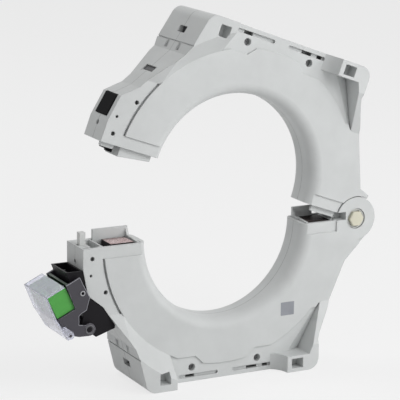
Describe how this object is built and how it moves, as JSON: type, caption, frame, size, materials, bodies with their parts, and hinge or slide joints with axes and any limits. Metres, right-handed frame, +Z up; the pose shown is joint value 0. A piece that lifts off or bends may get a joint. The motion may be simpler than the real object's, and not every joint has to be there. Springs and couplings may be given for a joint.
{
  "type": "split-core current transformer",
  "caption": "Split-core current transformer: two moulded half rings around a bell-mouthed round window, hinged on one side and latched on the other, with a pluggable terminal block.",
  "frame": {"origin": "centre of the round window at mid-depth, on the mating face of the lower half", "axes": "+X towards the hinge, +Y along the window axis away from the face with the screw heads, +Z up from the base"},
  "size_m": [0.2538, 0.052, 0.2533],
  "materials": {
    "shell_grey": "fine matt moulded plastic",
    "core_steel": "cut strip edges",
    "former_black": "moulded plastic",
    "winding_tape": "tape over copper wire",
    "screw_steel": "zinc plated",
    "hinge_ivory": "moulded insulating bolt",
    "catch_grey": "moulded plastic",
    "button_black": "smooth moulded plastic",
    "bracket_black": "moulded plastic",
    "holder_dark": "moulded plastic",
    "board_green": "solder resist",
    "plug_green": "moulded plastic",
    "contact_metal": "tinned",
    "cover_clear": "clear moulded plastic"
  },
  "bodies": {
    "lower_half": {"lower_front_shell": "shell_grey", "lower_rear_shell": "shell_grey", "lower_core": "core_steel", "lower_former": "former_black", "lower_winding": "winding_tape", "lower_shell_screws": "screw_steel", "hinge_bolt": "hinge_ivory", "hinge_nut": "hinge_ivory", "latch_catch": "catch_grey", "terminal_bracket": "bracket_black"},
    "upper_half": {"upper_front_shell": "shell_grey", "upper_rear_shell": "shell_grey", "upper_core": "core_steel", "upper_former": "former_black", "upper_winding": "winding_tape", "upper_shell_screws": "screw_steel"},
    "latch": {"latch_button": "button_black", "latch_hook": "button_black"},
    "terminal_carrier": {"terminal_holder": "holder_dark", "terminal_board": "board_green", "terminal_header": "bracket_black", "header_pins": "contact_metal", "terminal_plug": "plug_green", "plug_clamps": "contact_metal", "plug_screws": "screw_steel"},
    "cover": {"terminal_cover": "cover_clear"}
  },
  "joints": [
    {"name": "main_hinge", "type": "hinge", "parent": "lower_half", "child": "upper_half", "pos_m": [0.1026, 0, 0], "axis": [0, 1, 0], "range_deg": [-20, 60]},
    {"name": "latch_press", "type": "slide", "parent": "upper_half", "child": "latch", "axis": [0.9397, 0, -0.342], "range_m": [0, 0.0015], "stiffness_N_per_m": 400, "springref_m": -0.003},
    {"name": "holder_swing", "type": "hinge", "parent": "lower_half", "child": "terminal_carrier", "pos_m": [-0.1034, 0, -0.054], "axis": [0, 1, 0], "range_deg": [-35, 0]},
    {"name": "cover_hinge", "type": "hinge", "parent": "terminal_carrier", "child": "cover", "pos_m": [-0.11767, 0, -0.0561], "axis": [0, 1, 0], "range_deg": [-90, 0]}
  ]
}
